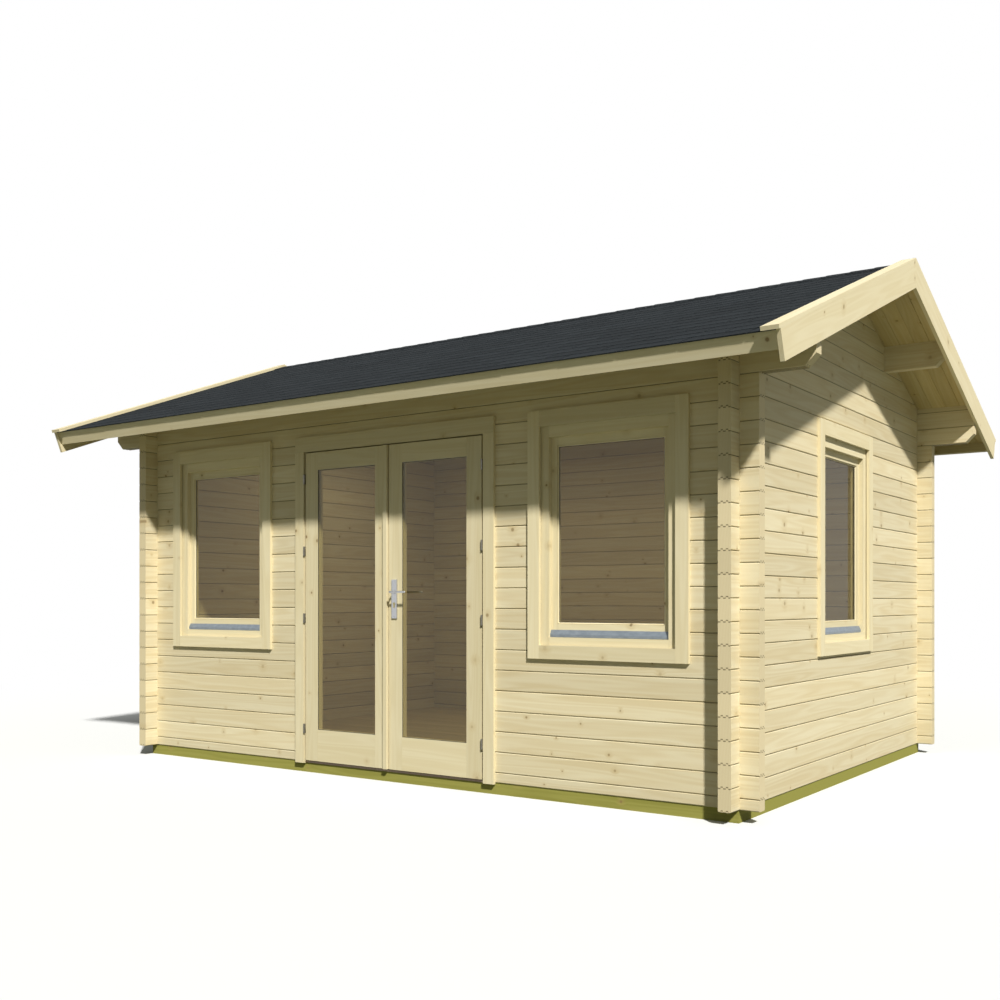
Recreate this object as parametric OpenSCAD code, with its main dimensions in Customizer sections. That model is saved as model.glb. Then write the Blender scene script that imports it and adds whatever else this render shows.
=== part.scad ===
// Log cabin of machined square logs with crossed corners, double glazed doors,
// three windows and a low gable roof.
// Frame: X along the ridge, Y from the front to the back, Z up.
// Origin: on the ground, under the middle of the house.

/* [House] */
// Width over the outer faces of the side walls
house_w = 4570; // [3700:10:5600]
// Depth over the outer faces of the front and back walls
house_d = 3300; // [2700:10:4000]

/* [Logs] */
// Height of one course of logs
log_h = 117.5; // [97:0.5:142]
// Thickness of the logs
log_t = 70; // [58:1:84]
// Length of the log ends past the crossing walls
log_end = 104; // [80:1:130]
// Depth of the bevel along the log joints
log_bevel = 5; // [3:0.5:8]

/* [Base] */
// Height of the treated bearers
bearer_h = 68; // [45:1:90]
// Width of the treated bearers
bearer_w = 70; // [45:1:90]
// Step from the outer log face back to the bearer
bearer_setback = 8; // [0:1:30]
// Thickness of the floor boards
floor_t = 26; // [18:1:34]

/* [Roof] */
// Slope of the roof in degrees
roof_pitch = 20.8; // [16:0.1:26]
// Run of the roof boards past the outer face of the eave walls
eave_out = 474; // [300:1:560]
// Run of the roof past the outer face of the side walls
verge_out = 414; // [300:1:500]
// Thickness of the roof boards
deck_t = 19; // [16:1:26]
// Thickness of the shingles
shingle_t = 6; // [4:0.5:10]
// Shingle overhang past the fascia
shingle_drip = 12; // [5:1:40]
// Height of the fascia boards
fascia_h = 88; // [70:1:120]
// Thickness of the fascia boards
fascia_t = 20; // [16:1:28]
// Height of the bargeboards, square to the slope
barge_h = 147; // [120:1:190]
// Thickness of the bargeboards
barge_t = 22; // [16:1:30]
// Run of the bargeboards past the roof boards, along the slope
barge_run = 37; // [20:1:70]
// Width of the capping boards on the verges
cap_w = 88; // [60:1:120]
// Thickness of the capping boards
cap_t = 20; // [14:1:26]
// Distance of the middle purlins from the ridge line
purlin_y = 802; // [600:1:1000]
// Depth of the ridge purlin below the peak
ridge_purlin_h = 147; // [100:1:200]
// Depth of the middle purlins below the roof boards
middle_purlin_h = 152; // [110:1:180]
// Bevel on the lower corner of each purlin end
purlin_bevel = 60; // [30:1:80]

/* [Doors] */
// Clear width between the door casings
door_w = 1438; // [1200:2:1700]
// Height of the door leaves above the bearers
door_h = 2000; // [1650:1:2030]
// Thickness of the door leaves
leaf_t = 44; // [38:1:52]
// Width of the outer stiles
outer_stile = 108; // [90:1:130]
// Width of the meeting stiles
meeting_stile = 104; // [90:1:125]
// Height of the top rails
top_rail = 114; // [95:1:135]
// Height of the bottom rails
bottom_rail = 203; // [170:1:245]
// Width of the cover strip on the meeting stile
strip_w = 30; // [20:1:40]
// Height of the lever spindle above the bearers
lever_z = 1098; // [950:1:1200]
// Length of the levers from the spindle
lever_l = 132; // [100:1:150]

/* [Windows] */
// Width over the outer edges of the window casings
window_w = 987; // [830:1:1000]
// Offset of the side window from the middle of its wall, towards the front
side_window_shift = 35; // [0:1:60]
// Width of the side and bottom casings
casing_w = 75; // [60:1:90]
// Height of the head casings
head_casing = 90; // [75:1:105]
// Thickness of the casings
casing_t = 20; // [14:1:24]
// Visible width of the window frames
window_frame_w = 50; // [40:1:60]
// Width of the sash stiles
sash_stile = 35; // [30:1:42]
// Height of the sash top rail
sash_top = 45; // [38:1:54]
// Height of the sash bottom rail
sash_bottom = 74; // [62:1:88]
// Thickness of the sealed glass units
glass_t = 14; // [6:1:20]

/* [Hidden] */

// Colours
SPRUCE = "#E3D3A4";
PLANED = "#E8DAB0";
TREATED = "#8F9A4B";
FELT = "#363A44";
STEEL = "#B9BBBD";
DRIP = "#8A93A8";
PANE = "#8E8A76";

// Gap between pieces that rest on each other, small enough to read as touching
seat = 0.4;
// A cut runs this far past the face that it opens
over = 1;

// House
half_w = house_w / 2;
half_d = house_d / 2;
z0 = bearer_h;                          // underside of the lowest logs
sill_h = 764;                           // window sills above the lowest joint
head_play = 8;                          // door leaf to the head
openings_from = round(sill_h / log_h - 0.5) + 0.5;          // courses below the sills
openings_to = ceil((door_h + head_play) / log_h - 0.5) + 0.5;  // courses below the heads
purlin_logs = 2;                        // top courses that run out as eave purlins
wall_courses = openings_to + 0.5 + purlin_logs;             // whole courses at the front
wall_top = z0 + (wall_courses + 0.5) * log_h;

// Roof: distances u down the slope from the ridge and w square to it
roof_lift = 6;                          // underside of the boards over the last joint
ridge_z = wall_top + roof_lift + half_d * tan(roof_pitch);
deck_run = (half_d + eave_out) / cos(roof_pitch);
shingle_w = deck_t + seat + shingle_t;
barge_end = deck_run + barge_run;
cap_run = 15;                           // the cap passes the foot of the bargeboard
roof_x = half_w + verge_out - barge_t;  // inner faces of the bargeboards
purlin_x = roof_x - seat;

function slope(u, w) = [
    -u * cos(roof_pitch) - w * sin(roof_pitch),
    ridge_z - u * sin(roof_pitch) + w * cos(roof_pitch)
];
function peak(w) = [0, ridge_z + w / cos(roof_pitch)];
function underside_z(y) = ridge_z - abs(y) * tan(roof_pitch);

// Doors
leaf_gap = 14;                          // casing to leaf, where the hinge barrels sit
meeting_gap = 9;                        // between the two leaves
strip_t = 15;
leaf_half = door_w / 2 - leaf_gap;
leaf_face = -14;                        // front face, from the outer log face
leaf_foot = 12;                         // underside of the leaves above the bearers
jamb_w = 45;
jamb_stop = 30;                         // how far the stop stands in front of the jamb
stop_gap = 5.5;                         // leaf to stop when shut
door_open_half = door_w / 2 + jamb_w;   // half width of the gap in the logs
glass_recess = 6;                       // door glass behind the front of its leaf
barrel_r = 6;
pin_r = 3;
pin_play = 0.2;
hinge_x = door_w / 2 - 7;
hinge_y = -22;
hinge_share = [0.103, 0.463, 0.681, 0.915];  // hinge heights as shares of the leaf
knuckle_h = 30;
hinge_plate_t = 2.5;
hinge_plate_w = 20;
plate_w = 41;
plate_h = 237;
plate_t = 8;
plate_drop = 161;                       // spindle above the foot of the plate
lever_x = meeting_gap / 2 + 47.5;
lever_reach = 52;                       // lever grip in front of the leaf
lever_d = 13;
neck_d = 15;
threshold_t = 6;
threshold_lip = 12;
lip_t = 3;

// Windows
window_bottom = openings_from * log_h - casing_w + 33;
window_top = openings_to * log_h + 48;
window_open_half = window_w / 2 - 38;   // half width of the gap in the logs
window_x = (door_w / 2 + casing_w + half_w - log_t / 2) / 2;
frame_face = 5;                         // frame behind the outer log face
sash_face = 35;
sash_inside = 4;                        // the sash stands this far into the room
pane_face = 50;
drip_h = 42;
drip_t = 4;
drip_reach = 12;                        // how far the strip's nose stands out from its top

// ---------------------------------------------------------------- helpers

// A box from two opposite corners
module span(a, b) {
    translate(a)
        cube(b - a);
}

// An outline of [y, z] points carried along X from x1 to x2
module along_x(x1, x2) {
    translate([x1, 0, 0])
        rotate([90, 0, 90])
            linear_extrude(x2 - x1)
                children();
}

// Both slopes: the front one and its mirror image
module both_slopes() {
    children();
    mirror([0, 1, 0])
        children();
}

// Cross section of a log: x is its thickness, y its height above the joint.
// Two tongues stand on top, and two grooves take those of the log below.
tongue_h = 8;
tongue_w = 14;
tongue_draft = 2;
tongue_at = [0.3, 0.7];

function tongue(c, y, w, h) = [
    [c - w / 2, y],
    [c - w / 2 + tongue_draft, y + h],
    [c + w / 2 - tongue_draft, y + h],
    [c + w / 2, y]
];
function reversed(list) = [for (i = [len(list) - 1:-1:0]) list[i]];
function log_foot(grooved) = grooved
    ? [for (s = tongue_at) each tongue(s * log_t, seat, tongue_w + 2 * seat, tongue_h)]
    : [];
function log_crown(h, tongued) = tongued
    ? [for (s = reversed(tongue_at)) each reversed(tongue(s * log_t, h, tongue_w, tongue_h))]
    : [];
function log_section(h, grooved, tongued) = concat(
    [[0, seat + log_bevel], [log_bevel, seat]],
    log_foot(grooved),
    [[log_t - log_bevel, seat], [log_t, seat + log_bevel]],
    [[log_t, h - log_bevel], [log_t - log_bevel, h]],
    log_crown(h, tongued),
    [[log_bevel, h], [0, h - log_bevel]]
);

// A log along X, its outer face at y = 0 and its joint at z = 0
module plain_log(x1, x2, h = log_h, grooved = true, tongued = true) {
    along_x(x1, x2)
        polygon(log_section(h, grooved, tongued));
}

// Quarter-height cuts above and below where a wall crosses at x1 to x2.
// low and high are the top and bottom of the neck, from the joint.
module crossing_cuts(x1, x2, low, high) {
    span([x1 - seat, -over, -over], [x2 + seat, log_t + over, low + seat / 2]);
    span([x1 - seat, -over, high - seat / 2], [x2 + seat, log_t + over, 2 * log_h]);
}

// A log crossed at both corners, with half the length reach from the middle.
// corner is the outer face of the crossing walls.
module crossed_log(reach, corner, h = log_h, low = log_h / 4, high = log_h * 3 / 4,
                   grooved = true, tongued = true) {
    difference() {
        plain_log(-reach, reach, h, grooved, tongued);
        for (side = [0, 1])
            mirror([side, 0, 0])
                crossing_cuts(corner - log_t, corner, low, high);
    }
}

// The space under the roof boards
module under_roof(reach = house_w) {
    along_x(-reach, reach)
        polygon([
            [-house_d, 0], [house_d, 0],
            [house_d, underside_z(house_d) - seat],
            [0, ridge_z - seat],
            [-house_d, underside_z(house_d) - seat]
        ]);
}

// ---------------------------------------------------------------- base

module bearers() {
    rail_y = half_d - bearer_setback;
    rail_x = half_w - bearer_setback;
    inner_y = rail_y - bearer_w - seat;
    joists = 5;
    joist_step = 2 * (rail_x - bearer_w / 2) / (joists + 1);
    color(TREATED) {
        for (side = [0, 1])
            mirror([0, side, 0])
                span([-rail_x, -rail_y, 0], [rail_x, bearer_w - rail_y, bearer_h]);
        for (i = [0:joists + 1])
            translate([bearer_w / 2 - rail_x + i * joist_step, 0, 0])
                span([-bearer_w / 2, -inner_y, 0], [bearer_w / 2, inner_y, bearer_h]);
    }
}

module floor_boards() {
    gap = log_t + seat;
    color(PLANED)
        span([gap - half_w, gap - half_d, z0 + seat], [half_w - gap, half_d - gap, z0 + floor_t]);
}

// ---------------------------------------------------------------- logs

// Front wall logs are half a course below the side wall logs. Course 0 is the half log.
function course_z(i) = i == 0 ? z0 : z0 + (i - 0.5) * log_h;
function course_h(i) = i == 0 ? log_h / 2 : log_h;

// One whole course of the front wall
module front_course(i, reach = half_w + log_end) {
    foot = i == 0 ? -over : log_h / 4;
    translate([0, -half_d, course_z(i)])
        crossed_log(reach, half_w, course_h(i), foot, course_h(i) - log_h / 4, i > 0, true);
}

// The gaps for the doors and the front windows. They run on above the head, where
// only tongues stand.
module front_openings() {
    head = z0 + (openings_to + 1) * log_h;
    span([-door_open_half, -half_d - over, 0], [door_open_half, -half_d + log_t + over, head]);
    for (side = [-1, 1])
        translate([side * window_x, 0, 0])
            span([-window_open_half, -half_d - over, z0 + openings_from * log_h],
                 [window_open_half, -half_d + log_t + over, head]);
}

// The front logs on one side of the doors
module front_logs(side) {
    reach = half_w + log_end + over;
    color(SPRUCE)
        intersection() {
            difference() {
                for (i = [0:openings_to + 0.5 - 1])
                    front_course(i);
                front_openings();
            }
            span([min(0, side * reach), -house_d, 0], [max(0, side * reach), 0, 2 * house_d]);
        }
}

module front_log_over_openings() {
    color(SPRUCE)
        front_course(openings_to + 0.5);
}

module back_logs() {
    color(SPRUCE)
        mirror([0, 1, 0])
            for (i = [0:wall_courses - purlin_logs])
                front_course(i);
}

// The top logs of both eave walls run on past the corners to carry the roof's edge
module eave_purlin_logs() {
    color(SPRUCE)
        both_slopes()
            intersection() {
                for (i = [wall_courses - purlin_logs + 1:wall_courses])
                    difference() {
                        eave_course(i);
                        if (i == wall_courses - purlin_logs + 1)
                            purlin_end_bevels(course_z(i));
                    }
                under_roof();
            }
}

// A top course: the last one is taller, so that the roof's slope cuts its crown
module eave_course(i) {
    last = i == wall_courses;
    h = last ? log_h * 1.4 : log_h;
    translate([0, -half_d, course_z(i)])
        crossed_log(purlin_x, half_w, h, log_h / 4, log_h * 3 / 4, true, !last);
}

// Cuts at both ends of a purlin whose underside is at height z
module purlin_end_bevels(z) {
    for (side = [0, 1])
        mirror([side, 0, 0])
            translate([purlin_x - purlin_bevel, 0, z])
                rotate([0, -45, 0])
                    span([-over, -house_d, -2 * purlin_bevel],
                         [2 * purlin_bevel, house_d, 0]);
}

// One course of a side wall, with its outer face at -X
module side_course(k) {
    translate([-half_w, 0, z0 + k * log_h])
        rotate([0, 0, 90])
            mirror([0, 1, 0])
                crossed_log(half_d + log_end, half_d, log_h, log_h / 4, log_h * 3 / 4, k > 0, true);
}

module side_logs() {
    for (k = [0:wall_courses - 1])
        side_course(k);
}

module left_wall_logs() {
    color(SPRUCE)
        side_logs();
}

module right_wall_logs() {
    head = z0 + openings_to * log_h;
    color(SPRUCE)
        difference() {
            mirror([1, 0, 0])
                side_logs();
            translate([0, -side_window_shift, 0])
                span([half_w - log_t - over, -window_open_half, z0 + openings_from * log_h],
                     [half_w + over, window_open_half, head + seat]);
        }
}

// The gable is made of side wall logs that the slopes cut off
module gable_logs() {
    top_course = floor((ridge_z - z0) / log_h);
    color(SPRUCE)
        difference() {
            intersection() {
                for (k = [wall_courses:top_course])
                    side_course(k);
                under_roof();
            }
            purlin_space();
        }
}

// ---------------------------------------------------------------- roof

// The middle and the foot of each purlin
middle_foot = underside_z(purlin_y) - middle_purlin_h;
purlins = [[-purlin_y, middle_foot], [0, ridge_z - ridge_purlin_h], [purlin_y, middle_foot]];

module purlin_block(y, foot, play) {
    w = log_t / 2 + play;
    span([-purlin_x, y - w, foot - play], [purlin_x, y + w, ridge_z + over]);
}

// What the purlins take out of the gables, with a small gap all round
module purlin_space() {
    for (p = purlins)
        purlin_block(p[0], p[1], seat);
}

module roof_purlins() {
    color(SPRUCE)
        for (p = purlins)
            difference() {
                intersection() {
                    purlin_block(p[0], p[1], 0);
                    under_roof();
                }
                purlin_end_bevels(p[1]);
            }
}

// One slope's layer from w1 to w2, between x = -reach and reach
module slope_layer(w1, w2, run, reach) {
    along_x(-reach, reach)
        polygon([peak(w1) - [seat / 2, 0], peak(w2) - [seat / 2, 0], slope(run, w2), slope(run, w1)]);
}

module front_roof_boards() {
    color(PLANED)
        slope_layer(0, deck_t, deck_run, roof_x - seat);
}

module front_shingles() {
    color(FELT)
        slope_layer(deck_t + seat, shingle_w, deck_run + fascia_t + shingle_drip, roof_x - seat);
}

// A strip folded over the ridge between the capping boards
module ridge_shingles() {
    fold = 120;
    reach = half_w + verge_out - cap_w - 1;
    low = shingle_w + seat;
    high = low + 4;
    color(FELT)
        along_x(-reach, reach)
            polygon(concat(
                [slope(fold, low), slope(fold, high), peak(high)],
                [for (p = [slope(fold, high), slope(fold, low)]) [-p[0], p[1]]],
                [peak(low)]
            ));
}

module fascias() {
    color(PLANED)
        both_slopes()
            along_x(-roof_x + seat, roof_x - seat)
                polygon([
                    slope(deck_run + seat, deck_t), slope(deck_run + fascia_t, deck_t),
                    slope(deck_run + fascia_t, deck_t - fascia_h), slope(deck_run + seat, deck_t - fascia_h)
                ]);
}

// Two boards with a plumb joint under the peak
module left_bargeboards() {
    face = -half_w - verge_out;
    low = shingle_w - barge_h;
    color(PLANED)
        both_slopes()
            along_x(face, face + barge_t)
                polygon([
                    peak(low) - [seat / 2, 0], peak(shingle_w) - [seat / 2, 0],
                    slope(barge_end, shingle_w), slope(barge_end, low)
                ]);
}

module verge_caps() {
    face = half_w + verge_out;
    low = shingle_w + seat;
    color(PLANED)
        for (side = [0, 1])
            mirror([side, 0, 0])
                both_slopes()
                    along_x(face - cap_w, face)
                        polygon([
                            peak(low) - [seat / 2, 0], peak(low + cap_t) - [seat / 2, 0],
                            slope(barge_end + cap_run, low + cap_t), slope(barge_end + cap_run, low)
                        ]);
}

// ---------------------------------------------------------------- windows
// Each window is drawn as in a wall whose outer face is y = 0, about x = 0.

// Four members round an opening: stiles run through, rails fit between them
module ring(x, z1, z2, side, bottom, top, y1, y2) {
    for (s = [0, 1])
        mirror([s, 0, 0])
            span([-x, y1, z1], [side - x, y2, z2]);
    span([side - x + seat, y1, z1], [x - side - seat, y2, z1 + bottom]);
    span([side - x + seat, y1, z2 - top], [x - side - seat, y2, z2]);
}

window_z1 = z0 + window_bottom;
window_z2 = z0 + window_top;
casing_x = window_w / 2;
frame_x = casing_x - casing_w;                      // inner edge of the casing
sash_x = frame_x - window_frame_w;
sash_z1 = window_z1 + casing_w + window_frame_w - 5;
sash_z2 = window_z2 - head_casing - window_frame_w - 10;

module window_casing() {
    color(PLANED)
        ring(casing_x, window_z1, window_z2, casing_w, casing_w, head_casing, -casing_t, -seat);
}

module window_frame() {
    open_x = window_open_half - seat;
    z1 = z0 + openings_from * log_h + seat;
    z2 = z0 + openings_to * log_h;
    color(PLANED)
        ring(open_x, z1, z2, open_x - sash_x, sash_z1 - z1, z2 - sash_z2, frame_face, log_t);
}

module window_sash() {
    color(PLANED)
        ring(sash_x - seat, sash_z1 + seat, sash_z2 - seat, sash_stile, sash_bottom, sash_top,
             sash_face, log_t + sash_inside);
}

module window_pane() {
    x = sash_x - sash_stile - 2 * seat;
    color(PANE)
        span([-x, pane_face, sash_z1 + sash_bottom + 2 * seat],
             [x, pane_face + glass_t, sash_z2 - sash_top - 2 * seat]);
}

// A metal strip that sheds rain off the frame, in front of the sash's bottom rail
module window_drip() {
    top = sash_face - drip_t;
    nose = top - drip_reach;
    color(DRIP)
        along_x(seat - sash_x, sash_x - seat)
            polygon([
                [sash_face - seat, sash_z1 + seat], [sash_face - seat, sash_z1 + drip_h],
                [top, sash_z1 + drip_h], [nose, sash_z1 + 4 * drip_t], [nose, sash_z1 + seat]
            ]);
}

// Puts a window in its place
module in_left_window() {
    translate([-window_x, -half_d, 0])
        children();
}

module in_right_window() {
    translate([window_x, -half_d, 0])
        children();
}

module in_side_window() {
    translate([half_w, -side_window_shift, 0])
        rotate([0, 0, 90])
            children();
}

module window_glass() {
    in_left_window()
        window_pane();
    in_right_window()
        window_pane();
    in_side_window()
        window_pane();
}

module window_drip_strips() {
    in_left_window()
        window_drip();
    in_right_window()
        window_drip();
    in_side_window()
        window_drip();
}

// ---------------------------------------------------------------- doors
// Drawn in the frame of the front wall: y = 0 is its outer face, z = 0 the bearers' top.

module in_doorway() {
    translate([0, -half_d, z0])
        children();
}

head_z = openings_to * log_h;
door_head = door_h + head_play;                     // underside of the head casing

module door_casing() {
    x = door_w / 2;
    color(PLANED)
        in_doorway() {
            for (s = [0, 1])
                mirror([s, 0, 0])
                    span([x, -casing_t, -8], [x + casing_w, -seat, door_head - seat]);
            span([-x - casing_w, -casing_t, door_head], [x + casing_w, -seat, window_top]);
        }
}

// Jambs and head, each with a stop behind the leaves
module door_frame() {
    x = door_w / 2;
    outer = x + jamb_w - seat;
    stop_x = x - jamb_stop;
    stop_y = leaf_face + leaf_t + stop_gap;
    stop_z = door_h - jamb_stop + 12;
    color(PLANED)
        in_doorway() {
            for (s = [0, 1])
                mirror([s, 0, 0])
                    translate([0, 0, threshold_t + seat])
                        linear_extrude(door_head - threshold_t - 2 * seat)
                            polygon([
                                [x, 0], [outer, 0], [outer, log_t],
                                [stop_x, log_t], [stop_x, stop_y], [x, stop_y]
                            ]);
            span([-outer, 0, door_head], [outer, log_t, head_z - seat]);
            span([seat - stop_x, stop_y, stop_z], [stop_x - seat, log_t, door_head]);
        }
}

// A metal plate under the jambs, with a lip turned down between the casings
module door_threshold() {
    outer = door_w / 2 + jamb_w - seat;
    inner = door_w / 2 - seat;
    color(STEEL)
        in_doorway() {
            span([-outer, 0, seat], [outer, log_t, threshold_t]);
            span([-inner, 0, threshold_t - threshold_lip], [inner, lip_t, threshold_t]);
        }
}

// A leaf of two stiles and two rails from x1 to x2
module leaf(x1, x2, left_stile, right_stile) {
    y2 = leaf_face + leaf_t;
    color(PLANED)
        in_doorway() {
            span([x1, leaf_face, leaf_foot], [x1 + left_stile, y2, door_h]);
            span([x2 - right_stile, leaf_face, leaf_foot], [x2, y2, door_h]);
            span([x1 + left_stile + seat, leaf_face, leaf_foot],
                 [x2 - right_stile - seat, y2, leaf_foot + bottom_rail]);
            span([x1 + left_stile + seat, leaf_face, door_h - top_rail],
                 [x2 - right_stile - seat, y2, door_h]);
        }
}

// The glass of a leaf, given the inner edges of its stiles
module leaf_glass(x1, x2) {
    y = leaf_face + glass_recess;
    color(PANE)
        in_doorway()
            span([x1 + seat, y, leaf_foot + bottom_rail + seat],
                 [x2 - seat, y + glass_t, door_h - top_rail - seat]);
}

meet_x = meeting_gap / 2;               // meeting edge of either leaf

module left_door_leaf() {
    leaf(-leaf_half, -meet_x, outer_stile, meeting_stile);
}

module right_door_leaf() {
    leaf(meet_x, leaf_half, meeting_stile, outer_stile);
}

module left_door_glass() {
    leaf_glass(outer_stile - leaf_half, -meet_x - meeting_stile);
}

module right_door_glass() {
    leaf_glass(meet_x + meeting_stile, leaf_half - outer_stile);
}

// The strip stands on the left leaf's edge and stops short of the right leaf,
// so that either leaf opens first
module door_cover_strip() {
    color(PLANED)
        in_doorway()
            span([-meet_x - strip_w, leaf_face - strip_t, leaf_foot],
                 [-meet_x, leaf_face - seat, door_h]);
}

// A long plate on each face of the right leaf, with the spindle's bore
module handle_plates() {
    color(STEEL)
        in_doorway()
            for (y = [leaf_face - plate_t - seat, leaf_face + leaf_t + seat])
                difference() {
                    span([lever_x - plate_w / 2, y, lever_z - plate_drop],
                         [lever_x + plate_w / 2, y + plate_t, lever_z - plate_drop + plate_h]);
                    translate([lever_x, y - over, lever_z])
                        rotate([-90, 0, 0])
                            cylinder(d = neck_d + 2 * seat, h = plate_t + 2 * over, $fn = 48);
                }
}

// One lever: a neck out of the plate and a round grip along +X
module lever(out) {
    face = out < 0 ? leaf_face - seat : leaf_face + leaf_t + seat;
    translate([lever_x, face, lever_z])
        rotate([out * -90, 0, 0])
            cylinder(d = neck_d, h = plate_t + lever_reach + lever_d / 2, $fn = 48);
    translate([lever_x, face + out * (plate_t + lever_reach), lever_z])
        rotate([0, 90, 0])
            cylinder(d = lever_d, h = lever_l, $fn = 48);
}

module lever_handles() {
    color(STEEL)
        in_doorway() {
            lever(-1);
            lever(1);
        }
}

// ---------------------------------------------------------------- hinges
// Barrel hinges in front of the gap between leaf and casing. The lower knuckle has the pin
// and a plate on the casing's edge; the upper one turns on it with a plate on the leaf's edge.

module on_hinges() {
    for (share = hinge_share)
        translate([hinge_x, hinge_y, leaf_foot + share * (door_h - leaf_foot)])
            children();
}

module lower_knuckle() {
    edge = door_w / 2 - hinge_x - seat;
    translate([0, 0, -knuckle_h])
        cylinder(r = barrel_r, h = knuckle_h, $fn = 48);
    cylinder(r = pin_r, h = knuckle_h - 4, $fn = 48);
    span([edge - hinge_plate_t, 0, -knuckle_h], [edge, hinge_plate_w, 0]);
    span([0, 0, -knuckle_h], [edge, hinge_plate_t, 0]);
}

module upper_knuckle() {
    edge = leaf_half - hinge_x + seat;
    difference() {
        union() {
            translate([0, 0, seat])
                cylinder(r = barrel_r, h = knuckle_h, $fn = 48);
            span([edge, 0, seat], [edge + hinge_plate_t, hinge_plate_w, knuckle_h]);
            span([edge, 0, seat], [0, hinge_plate_t, knuckle_h]);
        }
        cylinder(r = pin_r + pin_play, h = knuckle_h - 3, $fn = 48);
    }
}

module right_door_hinges() {
    color(STEEL)
        in_doorway()
            on_hinges()
                upper_knuckle();
}

module frame_hinges() {
    color(STEEL)
        in_doorway()
            for (s = [0, 1])
                mirror([s, 0, 0])
                    on_hinges()
                        lower_knuckle();
}

// ---------------------------------------------------------------- nodes

bearers();
floor_boards();  // floor
front_logs(-1);  // front_logs_left
front_logs(1);  // front_logs_right
front_log_over_openings();
back_logs();
left_wall_logs();
right_wall_logs();
gable_logs();  // left_gable_logs
mirror([1, 0, 0]) gable_logs();  // right_gable_logs
eave_purlin_logs();
roof_purlins();
front_roof_boards();
mirror([0, 1, 0]) front_roof_boards();  // back_roof_boards
front_shingles();
mirror([0, 1, 0]) front_shingles();  // back_shingles
ridge_shingles();
fascias();
left_bargeboards();
mirror([1, 0, 0]) left_bargeboards();  // right_bargeboards
verge_caps();
in_left_window() window_casing();  // left_window_casing
in_left_window() window_frame();  // left_window_frame
in_left_window() window_sash();  // left_window_sash
in_right_window() window_casing();  // right_window_casing
in_right_window() window_frame();  // right_window_frame
in_right_window() window_sash();  // right_window_sash
in_side_window() window_casing();  // side_window_casing
in_side_window() window_frame();  // side_window_frame
in_side_window() window_sash();  // side_window_sash
window_glass();
window_drip_strips();
door_casing();
door_frame();
door_threshold();
left_door_leaf();
left_door_glass();
right_door_leaf();
right_door_glass();
door_cover_strip();
handle_plates();
lever_handles();
mirror([1, 0, 0]) right_door_hinges();  // left_door_hinges
right_door_hinges();
frame_hinges();
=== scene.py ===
# %% [markdown]
# # A small log cabin
# The construction is finished already: logs, frames, doors and hinges come in as a fixed
# frame, each at its real size. This notebook gives them their looks. It lays the boards and
# shingles that the frame holds only as slabs, makes the finishes, and sets up a plain studio.

# %% The frame
import bpy
import bmesh
import math
import numpy as np
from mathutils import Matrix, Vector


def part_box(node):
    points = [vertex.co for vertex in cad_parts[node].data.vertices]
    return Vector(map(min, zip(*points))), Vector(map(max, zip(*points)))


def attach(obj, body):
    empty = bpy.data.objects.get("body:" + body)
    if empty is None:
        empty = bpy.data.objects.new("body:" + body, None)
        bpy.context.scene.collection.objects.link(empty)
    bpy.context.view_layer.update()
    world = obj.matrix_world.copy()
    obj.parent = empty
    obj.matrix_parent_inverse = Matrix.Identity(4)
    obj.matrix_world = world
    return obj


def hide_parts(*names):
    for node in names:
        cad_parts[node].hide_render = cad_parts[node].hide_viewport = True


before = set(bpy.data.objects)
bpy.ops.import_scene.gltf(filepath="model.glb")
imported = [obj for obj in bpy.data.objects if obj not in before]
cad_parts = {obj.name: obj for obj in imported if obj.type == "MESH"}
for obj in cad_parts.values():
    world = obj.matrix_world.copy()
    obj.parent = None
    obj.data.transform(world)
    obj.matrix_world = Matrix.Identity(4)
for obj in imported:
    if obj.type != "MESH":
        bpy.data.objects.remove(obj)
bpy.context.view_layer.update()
random = np.random.default_rng(20)

# %% [markdown]
# ## Measures that several steps share
# Places come from the frame's own pieces, so that nothing has to be fitted by eye. Only what
# no box can tell is written here: the slope of the roof and the height of a course.

# %% Shared measures
pitch = math.radians(20.8)
course = 0.1175
ROOF_BOARD = 0.019      # thickness of the roof boards
ALONG_X = np.array([1.0, 0, 0])
bearer_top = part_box("bearers")[1][2]
wall_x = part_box("right_wall_logs")[1][0]
wall_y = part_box("back_logs")[1][1]
log_t = wall_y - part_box("back_logs")[0][1]
print("walls stand on", round(bearer_top, 3), "and are", round(log_t, 3), "thick")

# %% [markdown]
# ## Colours and nodes
# Shaders work in linear light, while a colour is given in sRGB. One function turns a
# hex value from one to the other. One more adds a node, with its settings and its links, so
# that a material reads as a list of steps.

# %% Two helpers


def linear(hex_code):
    """sRGB to linear: (c / 12.92) below 0.04045, else ((c + 0.055) / 1.055) to the power 2.4."""
    c = np.array([int(hex_code[i:i + 2], 16) for i in (1, 3, 5)]) / 255
    c = np.where(c <= 0.04045, c / 12.92, ((c + 0.055) / 1.055) ** 2.4)
    return (*c.tolist(), 1.0)


def add(tree, kind, inputs=(), **settings):
    """Adds one shader node. inputs fills its sockets, by order or by name, with values or
    links. Gives back its one output, or all of them where it has several."""
    made = tree.nodes.new("ShaderNode" + kind)
    for key, value in settings.items():
        setattr(made, key, value)
    sockets = [s for s in made.inputs if s.enabled]
    by_name = {s.name: s for s in reversed(sockets)}
    pairs = inputs.items() if isinstance(inputs, dict) else enumerate(inputs)
    for key, value in pairs:
        socket = by_name[key] if isinstance(key, str) else sockets[key]
        if isinstance(value, bpy.types.NodeSocket):
            tree.links.new(value, socket)
        else:
            socket.default_value = value
    outputs = [s for s in made.outputs if s.enabled]
    return outputs[0] if len(outputs) == 1 else made.outputs


def new_material(name):
    """An empty material with its tree."""
    material = bpy.data.materials.new(name)
    material.use_nodes = True
    material.node_tree.nodes.clear()
    return material, material.node_tree


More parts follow.
